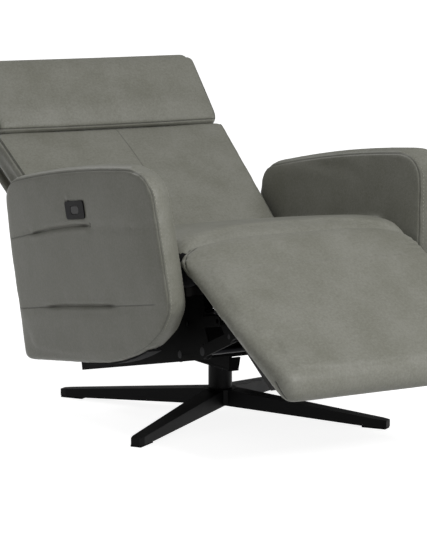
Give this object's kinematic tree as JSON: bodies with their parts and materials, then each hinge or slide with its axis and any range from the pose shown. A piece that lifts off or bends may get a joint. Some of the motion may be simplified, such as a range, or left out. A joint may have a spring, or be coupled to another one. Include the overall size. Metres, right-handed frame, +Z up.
{
  "type": "swivel recliner",
  "caption": "Swivel recliner on a flat star base, with rounded side arms, a folding leg rest joined to the seat by a soft bridge, a reclining back and a tilting headrest",
  "frame": {"origin": "on the floor, on the swivel axis in the middle of the star base", "axes": "+Z up along the swivel axis, the seat faces -Y, +X is to the right of someone who looks along +Y"},
  "size_m": [0.7426, 1.3367, 0.7423],
  "materials": {
    "black_metal": "matte black powder coat",
    "rubber": "matte",
    "bush": "plain",
    "steel": "satin zinc",
    "plywood": "raw plywood",
    "leather": "semi-matte warm grey",
    "rear_cloth": "dark lining cloth",
    "housing": "fine texture",
    "drive_tube": "satin",
    "control": "satin charcoal",
    "key": "soft touch"
  },
  "bodies": {
    "base": {"star_base": "black_metal", "base_feet": "rubber", "column_tube": "black_metal", "column_bush": "bush", "thrust_washer": "steel"},
    "turntable": {"spindle": "steel", "spindle_bolt": "steel", "turn_plate": "black_metal", "turn_lugs": "black_metal", "turn_bolts": "steel"},
    "seat_body": {"tilt_shaft": "steel", "left_side_plate": "black_metal", "right_side_plate": "black_metal", "front_cross_rail": "black_metal", "rear_cross_tube": "black_metal", "seat_deck": "plywood", "seat_cushion": "leather", "leg_bridge": "leather", "left_arm_brackets": "black_metal", "right_arm_brackets": "black_metal", "left_arm_board": "plywood", "right_arm_board": "plywood", "left_arm_pad": "leather", "right_arm_pad": "leather", "left_arm_base": "rear_cloth", "right_arm_base": "rear_cloth", "drive_brackets": "black_metal", "drive_pins": "steel", "guide_pins": "steel", "power_box": "housing", "control_plate": "control"},
    "control_key": {"control_key": "key"},
    "back": {"back_shaft": "steel", "back_levers": "black_metal", "left_back_stile": "black_metal", "right_back_stile": "black_metal", "back_board": "plywood", "back_cushion": "leather", "back_cover": "rear_cloth", "head_hinge_arms": "steel"},
    "head": {"head_pin": "steel", "head_board": "plywood", "head_cushion": "leather"},
    "leg_lift_links": {"leg_shaft": "steel", "leg_links": "black_metal", "leg_levers": "black_metal"},
    "leg_guides": {"guide_links": "black_metal"},
    "leg_rest": {"leg_board": "plywood", "leg_brackets": "black_metal", "leg_pins": "steel", "leg_cushion": "leather"},
    "back_drive": {"back_motor": "housing", "back_drive_tube": "drive_tube"},
    "back_rod": {"back_push_rod": "steel"},
    "leg_drive": {"leg_motor": "housing", "leg_drive_tube": "drive_tube"},
    "leg_rod": {"leg_push_rod": "steel"},
    "tilt_drive": {"tilt_motor": "housing", "tilt_drive_tube": "drive_tube"},
    "tilt_rod": {"tilt_push_rod": "steel"}
  },
  "joints": [
    {"name": "swivel", "type": "hinge", "parent": "base", "child": "turntable", "pos_m": [0, 0, 0.136], "axis": [0, 0, 1], "continuous": true},
    {"name": "seat_tilt", "type": "hinge", "parent": "turntable", "child": "seat_body", "pos_m": [0, -0.2, 0.18], "axis": [1, 0, 0], "range_deg": [0, 7.5]},
    {"name": "back_recline", "type": "hinge", "parent": "seat_body", "child": "back", "pos_m": [0, 0.18755, 0.30444], "axis": [1, 0, 0], "range_deg": [0, 36]},
    {"name": "head_tilt", "type": "hinge", "parent": "back", "child": "head", "pos_m": [0, 0.51611, 0.59887], "axis": [1, 0, 0], "range_deg": [-15, 25]},
    {"name": "leg_lift", "type": "hinge", "parent": "seat_body", "child": "leg_lift_links", "pos_m": [0, -0.30871, 0.20409], "axis": [1, 0, 0], "range_deg": [-68.04, 0], "deforming": ["leg_bridge"]},
    {"name": "leg_fold", "type": "hinge", "parent": "leg_lift_links", "child": "leg_rest", "pos_m": [0, -0.42921, 0.25368], "axis": [1, 0, 0], "range_deg": [0, 117.05]},
    {"name": "guide_lift", "type": "hinge", "parent": "seat_body", "child": "leg_guides", "pos_m": [0, -0.28269, 0.25878], "axis": [1, 0, 0], "range_deg": [-65.99, 0]},
    {"name": "key_rock", "type": "hinge", "parent": "seat_body", "child": "control_key", "pos_m": [-0.3671, -0.02831, 0.4728], "axis": [-0.0976, 0.1299, 0.9867], "range_deg": [-4, 4], "stiffness_Nm_per_rad": 0.5},
    {"name": "back_drive_swing", "type": "hinge", "parent": "seat_body", "child": "back_drive", "pos_m": [0.072, -0.17985, 0.22576], "axis": [1, 0, 0], "range_deg": [-1.14, 0]},
    {"name": "back_rod_slide", "type": "slide", "parent": "back_drive", "child": "back_rod", "axis": [0, 0.9992, 0.0407], "range_m": [0, 0.04393]},
    {"name": "leg_drive_swing", "type": "hinge", "parent": "seat_body", "child": "leg_drive", "pos_m": [-0.072, 0.08079, 0.21364], "axis": [1, 0, 0], "range_deg": [0, 0.4716]},
    {"name": "leg_rod_slide", "type": "slide", "parent": "leg_drive", "child": "leg_rod", "axis": [0, -0.9987, 0.0515], "range_m": [-0.03792, 0]},
    {"name": "tilt_drive_swing", "type": "hinge", "parent": "turntable", "child": "tilt_drive", "pos_m": [0, 0.14, 0.166], "axis": [1, 0, 0], "range_deg": [-1.94, 0]},
    {"name": "tilt_rod_slide", "type": "slide", "parent": "tilt_drive", "child": "tilt_rod", "axis": [0, -0.9434, 0.3318], "range_m": [0, 0.0138]}
  ],
  "couplings": [
    {"joint": "leg_fold", "follows": "leg_lift", "ratio": -1.7201},
    {"joint": "guide_lift", "follows": "leg_lift", "ratio": 0.96972},
    {"joint": "back_drive_swing", "follows": "back_recline", "ratio": -0.03177},
    {"joint": "back_rod_slide", "follows": "back_recline", "m_per_rad": 0.069902},
    {"joint": "leg_drive_swing", "follows": "leg_lift", "ratio": -0.006916},
    {"joint": "leg_rod_slide", "follows": "leg_lift", "m_per_rad": 0.031926},
    {"joint": "tilt_drive_swing", "follows": "seat_tilt", "ratio": -0.25904},
    {"joint": "tilt_rod_slide", "follows": "seat_tilt", "m_per_rad": 0.10537}
  ]
}
